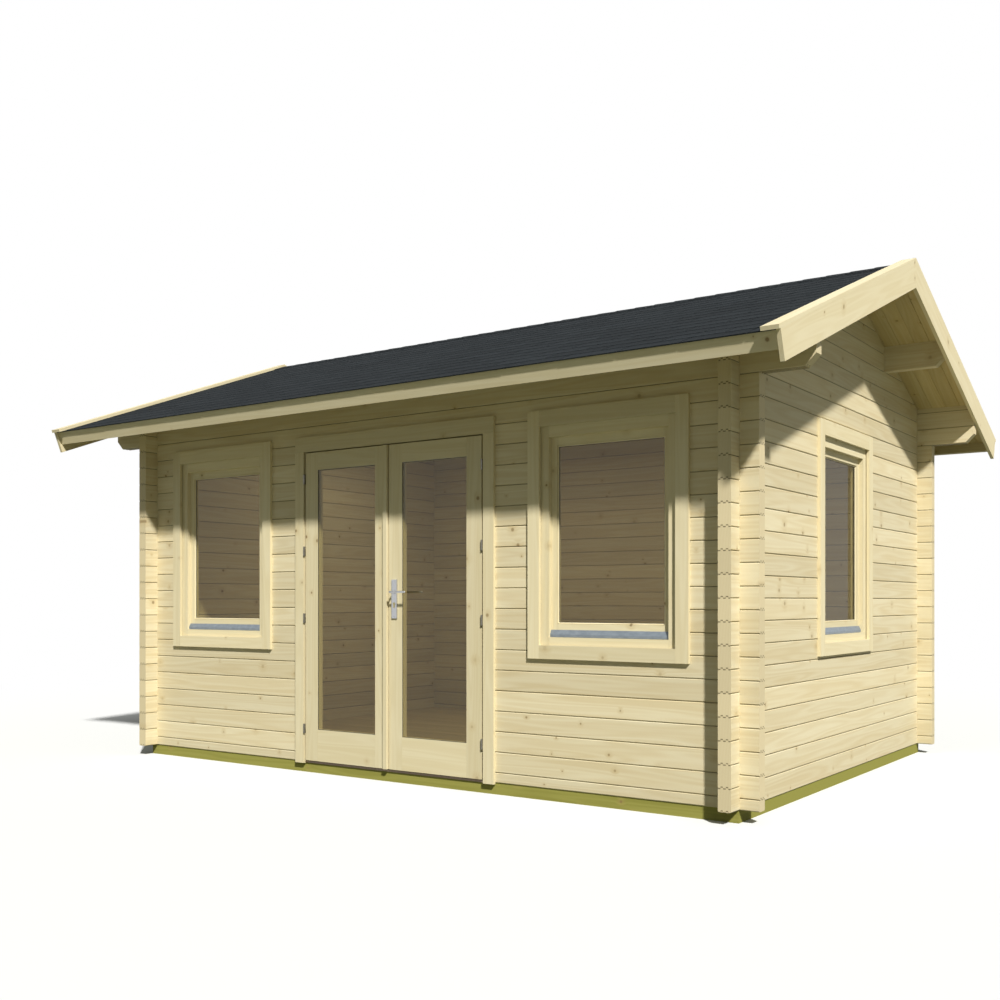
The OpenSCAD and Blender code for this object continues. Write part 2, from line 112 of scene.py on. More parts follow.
# %% [markdown]
# ## Timber
# All the wood here is planed, untreated Nordic spruce: pale straw, a soft satin from the
# planer, faint growth bands that run the length of each piece, and round knots where
# branches were. One plank's pattern would repeat on every log, so the wood is worked out in
# place. Contour lines through a slow noise, stretched along the piece, give the bands. Knots
# are the points of a scatter whose distance is measured in metres, so that they stay round.
# Each log draws its own shift and shade from the number of its course.
#
# Real bands lie 2 to 4 mm apart, too fine to show on a whole house. They are drawn about
# three times as coarse.

# %% The timber finish
KNOT_CELL = (0.34, 0.085)   # metres along and across, for one possible knot
KNOT_SIZE = (0.005, 0.015)  # smallest and largest radius
BAND_STRETCH = (0.75, 13.0, 13.0)
FIBRE_STRETCH = (2.2, 95.0, 95.0)
TONGUES = (0.30, 0.70)      # places of a log's tongues, as shares of its thickness
RING_GAP = 0.008            # metres between the rings of end grain
KNOT_BROWN = "#86704C"
KNOT_RESIN = "#B79E68"      # warmer wood round a knot
JOINT_SHADE = "#4C4228"


def timber(name, pale, deep, lay="X", rows=0.0, start=0.0, sides=None, uprights=None,
           knots=0.3, seed=0.0, rough=0.6, face=None, shade=0.5):
    """Planed softwood. lay is the axis that the pieces lie along, slope for boards that
    follow the roof, or own for boards that carry their own grain attribute. rows is the
    height of a course. sides names the axis whose two halves are different pieces. uprights
    is (middle, half width, top) of an opening whose side members stand. face is the distance
    from the middle of the house to a log's outer face, for the joint on its end."""
    material, tree = new_material(name)
    place = add(tree, "TexCoord")
    x, y, z = add(tree, "SeparateXYZ", [place["Object"]])
    facing = add(tree, "SeparateXYZ", [place["Normal"]])
    standing = None
    if lay == "own":
        own = add(tree, "Attribute", attribute_name="grain")["Vector"]
        a, b, c = add(tree, "SeparateXYZ", [own])
    elif lay == "slope":
        # along = |y| / cos, across = (z + |y| tan) cos
        out = add(tree, "Math", [y], operation="ABSOLUTE")
        a = add(tree, "Math", [out, 1 / math.cos(pitch)], operation="MULTIPLY")
        b = add(tree, "Math", [out, math.tan(pitch), z], operation="MULTIPLY_ADD")
        b = add(tree, "Math", [b, math.cos(pitch)], operation="MULTIPLY")
        c = x
    else:
        a, b, c = {"X": (x, z, y), "Y": (y, z, x), "Z": (z, x, y)}[lay]
    if uprights:
        middle, half, top = uprights
        off = add(tree, "Math", [a, middle], operation="SUBTRACT")
        off = add(tree, "Math", [off], operation="ABSOLUTE")
        beside = add(tree, "Math", [off, half], operation="GREATER_THAN")
        below = add(tree, "Math", [z, top], operation="LESS_THAN")
        standing = add(tree, "Math", [beside, below], operation="MULTIPLY")
        a, b = (add(tree, "Mix", [standing, a, b], data_type="FLOAT"),
                add(tree, "Mix", [standing, b, a], data_type="FLOAT"))

    # Which piece this is: the course, the side of the house, and standing or lying
    number = add(tree, "Value")
    number.default_value = seed
    rise = None
    if rows:
        height = add(tree, "Math", [b, start], operation="SUBTRACT")
        height = add(tree, "Math", [height, rows], operation="DIVIDE")
        row = add(tree, "Math", [height], operation="FLOOR")
        rise = add(tree, "Math", [height, row], operation="SUBTRACT")
        rise = add(tree, "Math", [rise, rows], operation="MULTIPLY")
        number = add(tree, "Math", [row, number], operation="ADD")
    if sides:
        half_house = add(tree, "Math", [{"X": x, "Y": y}[sides]], operation="SIGN")
        number = add(tree, "Math", [half_house, 31.0, number], operation="MULTIPLY_ADD")
    if standing:
        side = add(tree, "Math", [b, uprights[0]], operation="GREATER_THAN")
        side = add(tree, "Math", [side, 3.0, 5.0], operation="MULTIPLY_ADD")
        number = add(tree, "Math", [standing, side, number], operation="MULTIPLY_ADD")
    if lay == "own":
        number = add(tree, "Attribute", attribute_name="tone")["Fac"]
        number = add(tree, "Math", [number, 97.0], operation="MULTIPLY")
    drawn = add(tree, "TexWhiteNoise", {"W": number}, noise_dimensions="1D")
    tone = drawn["Value"]
    shift = add(tree, "SeparateXYZ", [drawn["Color"]])
    a = add(tree, "Math", [shift[0], 23.0, a], operation="MULTIPLY_ADD")

    # Knots: the distance in metres to the nearest scattered point, in a random size
    cell_a = add(tree, "Math", [a, 1 / KNOT_CELL[0]], operation="MULTIPLY")
    cell_b = add(tree, "Math", [b, 1 / KNOT_CELL[1]], operation="MULTIPLY")
    cell = add(tree, "CombineXYZ", [cell_a, cell_b, 0.0])
    scatter = add(tree, "TexVoronoi", {"Vector": cell, "Scale": 1.0}, voronoi_dimensions="2D")
    away = add(tree, "VectorMath", [cell, scatter["Position"]], operation="SUBTRACT")
    away = add(tree, "VectorMath", [away, (*KNOT_CELL, 0.0)], operation="MULTIPLY")
    far = add(tree, "VectorMath", [away], operation="LENGTH")
    luck = add(tree, "SeparateXYZ", [scatter["Color"]])
    there = add(tree, "Math", [luck[0], knots], operation="LESS_THAN")
    radius = add(tree, "MapRange", {"Value": luck[1], "To Min": KNOT_SIZE[0],
                                    "To Max": KNOT_SIZE[1]})
    reach = add(tree, "Math", [far, radius], operation="DIVIDE")
    knot = add(tree, "MapRange", {"Value": reach, "From Min": 1.3, "From Max": 0.4},
               interpolation_type="SMOOTHSTEP")
    knot = add(tree, "Math", [knot, there], operation="MULTIPLY")
    halo = add(tree, "MapRange", {"Value": reach, "From Min": 4.0, "From Max": 0.8},
               interpolation_type="SMOOTHSTEP")
    halo = add(tree, "Math", [halo, there], operation="MULTIPLY")

    # Bands: contour lines of a slow noise, which bend round the knots, and fine fibre
    bend = add(tree, "Math", [halo, 0.012, b], operation="MULTIPLY_ADD")
    wood = add(tree, "CombineXYZ", [a, bend, c])
    slow = add(tree, "VectorMath", [wood, BAND_STRETCH], operation="MULTIPLY")
    slow = add(tree, "TexNoise", {"Vector": slow, "Scale": 1.0, "Detail": 1.0})["Fac"]
    bands = add(tree, "Math", [slow, 42.0], operation="MULTIPLY")
    bands = add(tree, "Math", [bands], operation="SINE")
    bands = add(tree, "MapRange", {"Value": bands, "From Min": -1.0, "From Max": 1.0})
    fine = add(tree, "VectorMath", [wood, FIBRE_STRETCH], operation="MULTIPLY")
    fine = add(tree, "TexNoise", {"Vector": fine, "Scale": 1.0, "Detail": 3.0})["Fac"]
    broad = add(tree, "MapRange", {"Value": slow, "From Min": 0.3, "From Max": 0.7})
    figure = add(tree, "Math", [bands, 0.35], operation="MULTIPLY")
    figure = add(tree, "Math", [fine, 0.45, figure], operation="MULTIPLY_ADD")
    figure = add(tree, "Math", [broad, 0.35, figure], operation="MULTIPLY_ADD")
    figure = add(tree, "Math", [figure, shade * 1.5], operation="MULTIPLY")

    # End grain: rings round the log's pith, on the faces that look along it
    if lay in "XYZ":
        end = {"X": facing[0], "Y": facing[1], "Z": facing[2]}[lay]
        end = add(tree, "Math", [end], operation="ABSOLUTE")
        end = add(tree, "Math", [end, 0.7], operation="GREATER_THAN")
        pith_b = rise if rise else b
        pith_b = add(tree, "Math", [shift[1], 0.08, pith_b], operation="MULTIPLY_ADD")
        pith = add(tree, "CombineXYZ", [c, pith_b, 0.0])
        ring = add(tree, "VectorMath", [pith], operation="LENGTH")
        ring = add(tree, "Math", [ring, 2 * math.pi / RING_GAP], operation="MULTIPLY")
        ring = add(tree, "Math", [ring], operation="SINE")
        ring = add(tree, "MapRange", {"Value": ring, "From Min": -1.0, "From Max": 1.0,
                                      "To Min": 0.45, "To Max": 0.70})
        figure = add(tree, "Mix", [end, figure, ring], data_type="FLOAT")

    colour = add(tree, "Mix", [figure, linear(pale), linear(deep)], data_type="RGBA")
    light = add(tree, "MapRange", {"Value": tone, "To Min": 0.90, "To Max": 1.06})
    grey = add(tree, "CombineColor", [light, light, light])
    colour = add(tree, "Mix", [1.0, colour, grey], data_type="RGBA", blend_type="MULTIPLY")
    warm = add(tree, "Math", [halo, 0.24], operation="MULTIPLY")
    colour = add(tree, "Mix", [warm, colour, linear(KNOT_RESIN)], data_type="RGBA")
    dark = add(tree, "Math", [knot, luck[2], 0.15], operation="MULTIPLY_ADD")
    dark = add(tree, "Math", [dark, knot], operation="MULTIPLY")
    dark = add(tree, "Math", [dark, 0.8], operation="MULTIPLY")
    colour = add(tree, "Mix", [dark, colour, linear(KNOT_BROWN)], data_type="RGBA")

    # The joint between two logs is open by a hair and full of shadow. On a log's end it
    # follows the two tongues. It is drawn 3 mm wide, and 5 mm on the ends, so that it shows
    # on a whole house.
    if face:
        depth = add(tree, "Math", [c], operation="ABSOLUTE")
        depth = add(tree, "Math", [face, depth], operation="SUBTRACT")
        lift = None
        for share in TONGUES:
            off = add(tree, "Math", [depth, share * log_t], operation="SUBTRACT")
            off = add(tree, "Math", [off], operation="ABSOLUTE")
            bump = add(tree, "MapRange", {"Value": off, "From Min": 0.0075, "From Max": 0.0055,
                                          "To Max": 0.008})
            lift = bump if lift is None else add(tree, "Math", [lift, bump], operation="ADD")
        lift = add(tree, "Math", [lift, end], operation="MULTIPLY")
        gap = add(tree, "Math", [rise, lift], operation="SUBTRACT")
        wrap = add(tree, "Math", [gap, rows], operation="SUBTRACT")
        gap = add(tree, "Math", [gap], operation="ABSOLUTE")
        wrap = add(tree, "Math", [wrap], operation="ABSOLUTE")
        gap = add(tree, "Math", [gap, wrap], operation="MINIMUM")
        narrow = add(tree, "Math", [end, -0.4, 1.0], operation="MULTIPLY_ADD")
        gap = add(tree, "Math", [gap, narrow], operation="MULTIPLY")
        seam = add(tree, "MapRange", {"Value": gap, "From Min": 0.0024, "From Max": 0.0010})
        seam = add(tree, "Math", [seam, 0.78], operation="MULTIPLY")
        colour = add(tree, "Mix", [seam, colour, linear(JOINT_SHADE)], data_type="RGBA")

    bump = add(tree, "Bump", {"Strength": 0.25, "Distance": 0.0006, "Height": fine})
    shader = add(tree, "BsdfPrincipled", {"Base Color": colour, "Roughness": rough, "IOR": 1.5,
                                          "Specular IOR Level": 0.2, "Normal": bump})
    add(tree, "OutputMaterial", [shader])
    return material


# %% [markdown]
# ## The logs
# The front and back logs lie along X, the side logs along Y and half a course higher. Those
# that run the whole length of the house are one log, while the doors part the lower ones, so
# the two halves get different wood.

# %% Finish of the logs
PALE = "#E4DDC2"
DEEP = "#CDBC93"


def coat(material, *names):
    """Gives CAD pieces a finish, and leaves their meshes alone."""
    for name in names:
        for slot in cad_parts[name].material_slots:
            slot.material = material
    print(material.name, "on", len(names), "pieces")


half_course = bearer_top + course / 2
coat(timber("planed_spruce_front_logs", PALE, DEEP, "X", course, half_course, sides="X",
            face=wall_y, seed=3),
     "front_logs_left", "front_logs_right")
coat(timber("planed_spruce_long_logs", PALE, DEEP, "X", course, half_course, sides="Y",
            face=wall_y, seed=9),
     "front_log_over_openings", "back_logs", "eave_purlin_logs")
coat(timber("planed_spruce_side_logs", PALE, DEEP, "Y", course, bearer_top, sides="X",
            face=wall_x, seed=15),
     "left_wall_logs", "right_wall_logs", "left_gable_logs", "right_gable_logs")
coat(timber("planed_spruce_purlins", PALE, DEEP, "X", sides="Y", seed=21), "roof_purlins")

# %% [markdown]
# ## Boards and frames
# Casings, frames and leaves are finer stuff: selected spruce with few knots. Their members
# stand at the sides and lie at the top and bottom, so the grain turns with them.

# %% Finish of the boards
TRIM = "#E4DCBF"
TRIM_DEEP = "#D4C7A0"
CASING_LEG = 0.075      # how wide the members are that stand or lie round the doors
CASING_HEAD = 0.096
FRAME_LEG = 0.031
NO_TOP = 9.0            # above the whole house: the side members run the full height
WINDOW_LEGS = {"casing": 0.0755, "frame": 0.0905, "sash": 0.0452}
door_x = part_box("door_casing")[1][0] - CASING_LEG
door_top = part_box("door_casing")[1][2] - CASING_HEAD
coat(timber("planed_spruce_door_casing", TRIM, TRIM_DEEP, "X", uprights=(0.0, door_x, door_top),
            knots=0.2, seed=40), "door_casing")
coat(timber("planed_spruce_door_frame", TRIM, TRIM_DEEP, "X",
            uprights=(0.0, door_x - FRAME_LEG, door_top), knots=0.1, seed=41), "door_frame")
for side in ("left", "right"):
    glass_low, glass_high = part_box(side + "_door_glass")
    middle = (glass_low[0] + glass_high[0]) / 2
    half = (glass_high[0] - glass_low[0]) / 2
    coat(timber("planed_spruce_" + side + "_leaf", TRIM, TRIM_DEEP, "X",
                uprights=(middle, half + 0.0005, NO_TOP), knots=0.28, seed=43 + len(side)),
         side + "_door_leaf")
coat(timber("planed_spruce_strip", TRIM, TRIM_DEEP, "Z", knots=0.1, seed=55),
     "door_cover_strip")
for window, lay in (("left", "X"), ("right", "X"), ("side", "Y")):
    axis = "XY".index(lay)
    for part, leg in WINDOW_LEGS.items():
        name = window + "_window_" + part
        low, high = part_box(name)
        middle = (low[axis] + high[axis]) / 2
        half = (high[axis] - low[axis]) / 2 - leg
        coat(timber("planed_spruce_" + name, TRIM, TRIM_DEEP, lay,
                    uprights=(middle, half, NO_TOP), knots=0.14,
                    seed=60 + 7 * axis + len(name)), name)
coat(timber("planed_spruce_fascias", TRIM, TRIM_DEEP, "X", sides="Y", knots=0.2, seed=80),
     "fascias")
coat(timber("planed_spruce_bargeboards", TRIM, TRIM_DEEP, "slope", sides="Y", knots=0.2,
            seed=84), "left_bargeboards", "right_bargeboards", "verge_caps")

# %% [markdown]
# ## Treated bearers
# The bearers are sawn pine, pressure treated with copper salts, which leave it olive green
# and take the shine off it.

# %% Finish of the bearers
coat(timber("treated_sawn_pine", "#A19F57", "#81803B", "X", knots=0.3, rough=0.85, seed=90),
     "bearers")

# %% [markdown]
# ## Making meshes
# Every new piece here is made of whole arrays: one function works out points, and one more
# turns points and faces into an object that rides on a body. Boards carry two attributes,
# the place in their own wood and a number that picks their shade.

# %% From arrays to a piece


def piece(name, points, faces, material, body, stands_for=(), attributes=None,
          smooth=False):
    """Makes an object at the origin from points (n x 3) and faces, each a row of indices."""
    mesh = bpy.data.meshes.new(name)
    mesh.from_pydata(points.reshape(-1, 3).tolist(), [], [list(f) for f in faces])
    for key, values in (attributes or {}).items():
        kind = "FLOAT_VECTOR" if values.ndim == 2 else "FLOAT"
        field = "vector" if values.ndim == 2 else "value"
        mesh.attributes.new(key, kind, "POINT").data.foreach_set(field, values.ravel())
    shell = bmesh.new()
    shell.from_mesh(mesh)
    bmesh.ops.recalc_face_normals(shell, faces=shell.faces)
    shell.to_mesh(mesh)
    shell.free()
    if smooth:
        mesh.shade_smooth()
        mesh.set_sharp_from_angle(angle=math.radians(40))
    mesh.materials.append(material)
    made = bpy.data.objects.new(name, mesh)
    bpy.context.scene.collection.objects.link(made)
    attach(made, body)
    if stands_for:
        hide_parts(*stands_for)
    print(name, "has", len(mesh.vertices), "points and", len(mesh.polygons), "faces")
    return made


def prisms(section, ends):
    """Closed bars from their sections. section is n x k x 3, the k corners of each bar's
    first end, and ends is the same for its other end. Faces: k sides and two caps."""
    n, k, _ = section.shape
    points = np.concatenate([section, ends], axis=1)
    j = np.arange(k)
    sides = np.stack([j, (j + 1) % k, (j + 1) % k + k, j + k], axis=1)
    base = 2 * k * np.arange(n)
    faces = (base[:, None, None] + sides).reshape(-1, 4).tolist()
    faces += (base[:, None] + j[::-1]).tolist() + (base[:, None] + j + k).tolist()
    return points, faces


def boards(origin, along, across, up, length, width, thick, arris):
    """Boards with small chamfers. A corner is origin + along s + across v + up w, where
    (v, w) goes round a rectangle with its four corners cut off at 45 degrees."""
    n = len(origin)
    v = np.stack([arris + 0 * width, width - arris, width, width, width - arris,
                  arris + 0 * width, 0 * width, 0 * width], axis=1)
    w = np.array([0, 0, arris, thick - arris, thick, thick, thick - arris, arris])
    w = np.broadcast_to(w, (n, 8))
    first = origin[:, None] + v[..., None] * across + w[..., None] * up
    last = first + (length[:, None] * along)[:, None]
    points, faces = prisms(first, last)
    s = np.broadcast_to(np.repeat([0.0, 1.0], 8), (n, 16)) * length[:, None]
    own = np.stack([s, np.tile(v, 2), np.tile(w, 2)], axis=-1)
    own = own + random.uniform(0, 40, (n, 1, 3)) * np.array([1, 1, 0])
    tone = np.repeat(random.uniform(0, 1, n), 16)
    return points, faces, {"grain": own.reshape(-1, 3), "tone": tone}


# %% [markdown]
# ## Roof boards
# On the real cabin tongued boards run from the ridge to the eaves, nailed to the purlins.
# Their faces show from below, where they stand out past the walls. The frame holds them as
# one slab on each slope. Here they are laid board by board, with a chamfer that draws the
# joint.

# %% Laying the roof boards
roof_wood = timber("planed_spruce_roof_boards", "#CFC295", "#B8A471", "own", knots=0.3)
BOARD = 0.095           # width of a roof board


def down_slope(side):
    """Unit vectors down and square to one slope. side is -1 at the front, 1 at the back."""
    down = np.array([0, side * math.cos(pitch), -math.sin(pitch)])
    square = np.array([0, side * math.sin(pitch), math.cos(pitch)])
    return down, square


roof = {}
for side, word in ((-1, "front"), (1, "back")):
    low, high = map(np.array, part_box(word + "_roof_boards"))
    down, square = down_slope(side)
    ridge_under = np.array([0, 0, high[2] - ROOF_BOARD / math.cos(pitch)])
    run = (high[1] - low[1]) / math.cos(pitch) - ROOF_BOARD * math.tan(pitch)
    count = round((high[0] - low[0]) / BOARD)
    width = (high[0] - low[0]) / count
    starts = ridge_under + np.array([1, 0, 0]) * (low[0] + width * np.arange(count))[:, None]
    points, faces, wood = boards(starts, down, ALONG_X, square,
                                 np.full(count, run), np.full(count, width - 0.0006),
                                 ROOF_BOARD, 0.003)
    piece(word + "_roof_board_set", points, faces, roof_wood, "cabin",
          [word + "_roof_boards"], wood)
    roof[side] = (ridge_under, run, low[0], high[0])

# %% [markdown]
# ## Shingles
# Bitumen shingles are felt strips with mineral grit, cut into tabs about a third of a metre
# wide. Each row laps the one below, so a row's foot stands proud and throws a thin shadow.
# They could be a bump pattern, but then the eaves would show a flat edge. Here every tab is
# a thin wedge.

# %% Grit finish
shingle_grit, tree = new_material("mineral_grit_on_bitumen_felt")
place = add(tree, "TexCoord")["Object"]
tone = add(tree, "Attribute", attribute_name="tone")["Fac"]
# Grit of 1 to 2 mm, drawn at 5 mm so that it shows
grit = add(tree, "TexNoise", {"Vector": place, "Scale": 190.0, "Detail": 2.0})["Fac"]
cloud = add(tree, "TexNoise", {"Vector": place, "Scale": 5.0, "Detail": 3.0})["Fac"]
speck = add(tree, "MapRange", {"Value": grit, "From Min": 0.35, "From Max": 0.68})
colour = add(tree, "Mix", [speck, linear("#1B1F22"), linear("#2F3439")], data_type="RGBA")
# tone is each tab's own random shade, plus, on the rows, painted shade that darkens a tab's head
# under the row above
level = add(tree, "Math", [tone, 0.24, 0.74], operation="MULTIPLY_ADD")
level = add(tree, "Math", [cloud, 0.16, level], operation="MULTIPLY_ADD")
level = add(tree, "CombineColor", [level, level, level])
colour = add(tree, "Mix", [1.0, colour, level], data_type="RGBA", blend_type="MULTIPLY")
bump = add(tree, "Bump", {"Strength": 0.5, "Distance": 0.0015, "Height": grit})
shader = add(tree, "BsdfPrincipled", {"Base Color": colour, "Roughness": 0.9, "IOR": 1.5,
                                      "Specular IOR Level": 0.04, "Normal": bump})
add(tree, "OutputMaterial", [shader])

# %% Laying the shingles
GAUGE = 0.142      # what shows of each row
TAB = 1 / 3
SLOT = 0.007       # gap between two tabs
LIP = 0.0014       # step from one row down to the next
SHINGLES = 0.0064  # thickness of the whole covering
for side, word in ((-1, "front"), (1, "back")):
    low, high = map(np.array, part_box(word + "_shingles"))
    down, square = down_slope(side)
    top = ROOF_BOARD + SHINGLES
    base = ROOF_BOARD + 0.0004
    ridge_under, _, left, right = roof[side]
    run = (high[1] - low[1]) / math.cos(pitch) - top * math.tan(pitch)
    rows = math.ceil(run / GAUGE)
    foot = run - GAUGE * np.arange(rows)            # how far down each row ends
    starts, ends, heads, feet = [], [], [], []
    for row in range(rows):
        first = left - (row % 2) * TAB / 2 - TAB * 0.35
        edges = first + TAB * np.arange(int((right - left) / TAB) + 3)
        a = np.clip(edges + SLOT / 2, left, right)
        b = np.clip(edges + TAB - SLOT / 2, left, right)
        keep = b - a > 0.02
        starts.append(a[keep])
        ends.append(b[keep])
        feet.append(np.full(keep.sum(), foot[row]))
        heads.append(np.full(keep.sum(), max(foot[row] - GAUGE - 0.006, 0.0)))
    x0, x1, u1, u0 = map(np.concatenate, (starts, ends, feet, heads))
    u1 = u1 - random.uniform(0, 0.0015, len(u1))
    # Section of a tab: a little thinner under the row above than at its foot
    thin = np.full(len(x0), top - LIP)
    u = np.stack([u0, u1, u1, u0], axis=1)
    w = np.stack([thin * 0 + base, thin * 0 + base, thin * 0 + top, thin], axis=1)
    section = ridge_under + u[..., None] * down + w[..., None] * square
    points, faces = prisms(section + x0[:, None, None] * ALONG_X,
                           section + x1[:, None, None] * ALONG_X)
    # Painted shade: each tab is darker at its head, under the row above, and lighter at its foot
    tone = random.uniform(0, 1, len(x0))[:, None] + np.array([0, 0, 0.3, -0.9] * 2)
    tone = tone.ravel()
    piece(word + "_shingle_rows", points, faces, shingle_grit, "cabin",
          [word + "_shingles"], {"tone": tone})
    # The felt under the slots
    under = np.array([[0.0, base - 0.0004], [run - 0.004, base - 0.0004],
                      [run - 0.004, base + 0.0012], [0.0, base + 0.0012]])
    section = (ridge_under + under[:, :1] * down + under[:, 1:] * square)[None]
    points, faces = prisms(section + left * ALONG_X, section + right * ALONG_X)
    piece(word + "_under_felt", points, faces, shingle_grit, "cabin",
          (), {"tone": np.zeros(8)})

# %% [markdown]
# ## Ridge
# Along the ridge single tabs are folded over the top, each lapping the next. A tab is a
# folded sheet: the same five points across, carried along the ridge.

# %% Folding the ridge tabs
RIDGE_TAB = 0.15
low, high = map(np.array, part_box("ridge_shingles"))
count = round((high[0] - low[0]) / RIDGE_TAB)
x0 = low[0] + (high[0] - low[0]) / count * np.arange(count)
x1 = np.minimum(x0 + (high[0] - low[0]) / count + 0.01, high[0])
fold = (high[1] - low[1]) / 2 - 0.0005


def ridge_section(lift, thick):
    """Across the fold: |y| from the edge to the middle, height falling by |y| tan(pitch)."""
    y = np.array([-1, -0.5, -0.06, 0.0, 0.06, 0.5, 1]) * fold
    z = high[2] - 0.0045 - np.abs(y) * math.tan(pitch) - 0.0006 * (np.abs(y) < fold * 0.05)
    outer = np.stack([0 * y, y, z + lift], axis=1)
    inner = np.stack([0 * y, y, z + lift - thick], axis=1)[::-1]
    return np.concatenate([outer, inner])


first = ridge_section(0.0043, 0.0035)[None] + x0[:, None, None] * ALONG_X
last = ridge_section(0.0012, 0.0010)[None] + x1[:, None, None] * ALONG_X
points, faces = prisms(first, last)
piece("ridge_tabs", points, faces, shingle_grit, "cabin",
      ["ridge_shingles"], {"tone": np.repeat(random.uniform(0, 1, count), 28)})

# %% [markdown]
# ## Floor
# Tongued boards lie across the joists. They show through the door glass and when the doors
# stand open.

# %% Laying the floor
FLOOR_BOARD = 0.088
low, high = map(np.array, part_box("floor"))
count = round((high[1] - low[1]) / FLOOR_BOARD)
width = (high[1] - low[1]) / count
starts = np.stack([np.full(count, low[0]), low[1] + width * np.arange(count) + width,
                   np.full(count, low[2])], axis=1)
points, faces, wood = boards(starts, ALONG_X, np.array([0, -1.0, 0]),
                             np.array([0, 0, 1.0]), np.full(count, high[0] - low[0]),
                             np.full(count, width - 0.0008), high[2] - low[2], 0.0015)
floor_wood = timber("planed_spruce_floor", "#D6C89A", "#BBA777", "own", knots=0.3)
piece("floor_board_set", points, faces, floor_wood, "cabin", ["floor"], wood)

# %% [markdown]
# ## Glass
# The panes are clear float glass in sealed units. Light has to reach the room through them,
# so the glass is a mix: see-through, with a mirror that grows at flat angles. A sealed unit
# has four faces, so it mirrors about a tenth of the light even straight on. Only the face that
# looks outwards mirrors here, for all four. A garden is darker than a white studio, and the
# mirror's grey tint allows for that.

# %% Glass finish
clear_glass, tree = new_material("float_glass")
mirror = add(tree, "Fresnel", {"IOR": 1.3})
mirror = add(tree, "Math", [mirror, 0.07], operation="ADD")
outside = add(tree, "NewGeometry")["Backfacing"]
outside = add(tree, "Math", [1.0, outside], operation="SUBTRACT")
share = add(tree, "Math", [mirror, outside], operation="MULTIPLY")
through = add(tree, "BsdfTransparent", {"Color": linear("#E5E3D6")})
gloss = add(tree, "BsdfAnisotropic", {"Color": linear("#B8BAB8"), "Roughness": 0.02})
mixed = add(tree, "MixShader", [share, through, gloss])
add(tree, "OutputMaterial", [mixed])
coat(clear_glass, "window_glass", "left_door_glass", "right_door_glass")

# %% [markdown]
# ## Metal
# The handles are brushed stainless steel and the hinges duller, zinc plated steel. The rain
# strips under the sashes are sheet aluminium with a grey-blue coat. The threshold is a strip of
# the same kind in brown.

# %% Metal finishes


def metal(name, light, dark, metallic, rough, spacing):
    """Sheet or bar metal: a base colour that wanders a little between two shades, in fine
    lines this many metres apart."""
    material, tree = new_material(name)
    place = add(tree, "TexCoord")["Object"]
    lines = add(tree, "VectorMath", [place, (0.6, 1.0, 1.0)], operation="MULTIPLY")
    lines = add(tree, "TexNoise", {"Vector": lines, "Scale": 1 / spacing, "Detail": 3.0})["Fac"]
    shade = add(tree, "MapRange", {"Value": lines, "From Min": 0.3, "From Max": 0.7})
    colour = add(tree, "Mix", [shade, linear(light), linear(dark)], data_type="RGBA")
    bump = add(tree, "Bump", {"Strength": 0.1, "Distance": 0.0002, "Height": lines})
    shader = add(tree, "BsdfPrincipled", {"Base Color": colour, "Metallic": metallic,
                                          "Roughness": rough, "Normal": bump})
    add(tree, "OutputMaterial", [shader])
    return material


steel = metal("brushed_stainless_steel", "#C9CACB", "#A9ABAD", 1.0, 0.32, 0.004)
coated = metal("coated_aluminium_strip", "#828D9A", "#717C89", 0.2, 0.45, 0.02)
dark_strip = metal("bronze_anodised_threshold", "#9A8672", "#82705E", 0.2, 0.5, 0.01)
zinc = metal("zinc_plated_hinge", "#7D7A70", "#66635A", 0.7, 0.42, 0.004)
brass = metal("nickelled_brass_cylinder", "#C4B98E", "#A89C72", 1.0, 0.3, 0.003)
# Black rubber for the glass seals; the same dark finish is painted shade in the key slots
rubber_and_keyway_shade = metal("black_rubber_and_keyway_shade", "#2A2925", "#1D1C1A", 0.0, 0.6, 0.002)
coat(steel, "handle_plates", "lever_handles")
coat(zinc, "left_door_hinges", "right_door_hinges", "frame_hinges")
coat(coated, "window_drip_strips")
coat(dark_strip, "door_threshold")

# %% [markdown]
# ## Levers
# A lever is one bar of round steel, bent through a right angle: the short arm comes out of the
# plate and the long one is the grip. A bend keeps the bar's thickness, so the bar is made as a
# ring carried along a path. The path is straight, then a quarter circle, then straight. Near
# the plate the ring widens to a collar, and at the tip it shrinks to round the end.

# %% Bending the levers
low, high = map(np.array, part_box("lever_handles"))
leaf_low, leaf_high = map(np.array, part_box("right_door_leaf"))
spindle_x = low[0] + 0.0075
spindle_z = (low[2] + high[2]) / 2
reach = leaf_low[1] - low[1] - 0.0065      # from the leaf's face to the middle of the grip
PLATE_TOP = 0.0084                         # outer face of the plates, from the leaf


def tube(path, side, wide, tall):
    """A closed bar. A ring's point = path + side cos(t) wide + z sin(t) tall, with t going
    round a circle. path and side are n x 3, wide and tall have n values."""
    t = np.linspace(0, 2 * np.pi, 24, endpoint=False)[:, None]
    rings = (path[:, None] + side[:, None] * np.cos(t) * wide[:, None, None]
             + np.array([0, 0, 1.0]) * np.sin(t) * tall[:, None, None])
    n, k = rings.shape[:2]
    i, j = np.meshgrid(np.arange(n - 1), np.arange(k), indexing="ij")
    beside = (j + 1) % k
    faces = np.stack([i * k + j, i * k + beside, (i + 1) * k + beside, (i + 1) * k + j], axis=-1)
    faces = faces.reshape(-1, 4).tolist() + [list(range(k)), list(range((n - 1) * k, n * k))]
    return rings.reshape(-1, 3), faces


